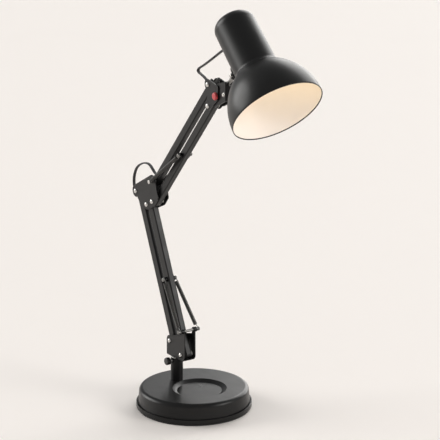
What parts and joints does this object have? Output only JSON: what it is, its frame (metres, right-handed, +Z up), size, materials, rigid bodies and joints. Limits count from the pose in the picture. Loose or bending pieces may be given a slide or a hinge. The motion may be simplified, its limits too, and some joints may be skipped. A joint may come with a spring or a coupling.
{
  "type": "desk lamp",
  "caption": "Black desk lamp with a heavy round base, two spring-balanced parallelogram arms and a bell shade that tilts and turns.",
  "frame": {"origin": "on the swivel post's axis, at the level of the table under the base pad", "axes": "+Z up; +X the way the arms carry the head forward; every hinge of the arms runs along Y and the arms lie in the plane Y = 0"},
  "size_m": [0.4269, 0.1749, 0.6235],
  "materials": {
    "black_paint": "satin",
    "zinc_steel": "satin",
    "spring_steel": "satin",
    "cast_weight": "matte",
    "rubber_pad": "matte",
    "rubber_cord": "satin",
    "black_plastic": "matte",
    "nylon": "matte",
    "red_plastic": "gloss",
    "bulb_metal": "satin",
    "bulb_glass": "frosted"
  },
  "bodies": {
    "base": {"base_pad": "rubber_pad", "base_tray": "black_paint", "tray_screws": "zinc_steel", "base_weight": "cast_weight", "base_cover": "black_paint", "base_bolt": "zinc_steel", "post_plug": "zinc_steel", "post_tube": "black_paint", "post_bush": "nylon"},
    "lock": {"thumb_screw": "black_plastic"},
    "bracket": {"swivel_pin": "zinc_steel", "foot_bracket": "black_paint", "foot_bolts": "zinc_steel", "foot_sleeves": "nylon", "anchor_rod": "zinc_steel", "lower_spring_near": "spring_steel", "lower_spring_far": "spring_steel"},
    "lower_rear": {"lower_bar_rear": "black_paint", "lead_inlet": "rubber_cord", "lead_lower": "rubber_cord"},
    "lower_front": {"lower_bar_front": "black_paint", "lower_cross_bolt": "zinc_steel"},
    "elbow": {"elbow_plate_near": "black_paint", "elbow_plate_far": "black_paint", "elbow_bolts": "zinc_steel", "elbow_sleeves": "nylon", "upper_anchor_rod": "zinc_steel", "lead_elbow_lower": "rubber_cord", "lead_elbow_upper": "rubber_cord", "upper_spring_near": "spring_steel", "upper_spring_far": "spring_steel"},
    "upper_top": {"upper_bar_top": "black_paint", "lead_upper": "rubber_cord"},
    "upper_bottom": {"upper_bar_bottom": "black_paint", "upper_cross_bolt": "zinc_steel"},
    "head": {"head_plate_near": "black_paint", "head_plate_far": "black_paint", "head_bolts": "zinc_steel", "head_sleeves": "nylon", "tilt_cap": "red_plastic", "lead_head_lower": "rubber_cord"},
    "yoke": {"head_yoke": "black_paint", "tilt_sleeve": "nylon", "shade_stem": "zinc_steel", "stem_collar": "black_paint", "stem_fasteners": "zinc_steel", "lead_head_middle": "rubber_cord"},
    "shade": {"shade": "black_paint", "shade_saddle": "black_paint", "shade_rivets": "zinc_steel", "lampholder": "black_plastic", "holder_plate": "zinc_steel", "holder_ring": "black_plastic", "switch_body": "black_plastic", "switch_bezel": "zinc_steel", "bulb_base": "bulb_metal", "bulb_glass": "bulb_glass", "neck_gland": "rubber_cord", "lead_head_upper": "rubber_cord"},
    "button": {"switch_button": "black_plastic"}
  },
  "joints": [
    {"name": "lock_turn", "type": "hinge", "parent": "base", "child": "lock", "pos_m": [0, 0, 0.0643], "axis": [0, -1, 0], "range_deg": [-180, 180]},
    {"name": "swivel", "type": "hinge", "parent": "base", "child": "bracket", "pos_m": [0, 0, 0.0705], "axis": [0, 0, 1], "range_deg": [-180, 180]},
    {"name": "lower_tilt", "type": "hinge", "parent": "bracket", "child": "lower_rear", "pos_m": [-0.004, 0, 0.095], "axis": [0, 1, 0], "range_deg": [-12, 16]},
    {"name": "lower_front_turn", "type": "hinge", "parent": "bracket", "child": "lower_front", "pos_m": [0.027, 0, 0.0805], "axis": [0, 1, 0], "range_deg": [-12, 16], "deforming": ["lower_spring_near", "lower_spring_far"]},
    {"name": "elbow_level", "type": "hinge", "parent": "lower_rear", "child": "elbow", "pos_m": [-0.09806, 0, 0.30927], "axis": [0, 1, 0], "range_deg": [-16, 12], "deforming": ["lead_elbow_lower"]},
    {"name": "upper_tilt", "type": "hinge", "parent": "elbow", "child": "upper_top", "pos_m": [-0.05126, 0, 0.33366], "axis": [0, 1, 0], "range_deg": [-13, 65], "deforming": ["lead_elbow_upper"]},
    {"name": "upper_bottom_turn", "type": "hinge", "parent": "elbow", "child": "upper_bottom", "pos_m": [-0.05126, 0, 0.30267], "axis": [0, 1, 0], "range_deg": [-13, 65], "deforming": ["upper_spring_near", "upper_spring_far"]},
    {"name": "head_level", "type": "hinge", "parent": "upper_top", "child": "head", "pos_m": [0.10156, 0, 0.50823], "axis": [0, 1, 0], "range_deg": [-65, 13], "deforming": ["lead_head_lower"]},
    {"name": "head_tilt", "type": "hinge", "parent": "head", "child": "yoke", "pos_m": [0.12176, 0, 0.49493], "axis": [0, 1, 0], "range_deg": [-25, 40], "deforming": ["lead_head_middle"]},
    {"name": "shade_swivel", "type": "hinge", "parent": "yoke", "child": "shade", "pos_m": [0.13756, 0, 0.51238], "axis": [0.7009, 0, 0.7133], "range_deg": [-75, 75], "deforming": ["lead_head_upper"]},
    {"name": "switch_press", "type": "slide", "parent": "shade", "child": "button", "axis": [0.7133, 0, -0.7009], "range_m": [0, 0.0015], "stiffness_N_per_m": 1000, "springref_m": -0.001}
  ],
  "couplings": [
    {"joint": "lower_front_turn", "follows": "lower_tilt", "ratio": 1},
    {"joint": "elbow_level", "follows": "lower_tilt", "ratio": -1},
    {"joint": "upper_bottom_turn", "follows": "upper_tilt", "ratio": 1},
    {"joint": "head_level", "follows": "upper_tilt", "ratio": -1}
  ]
}
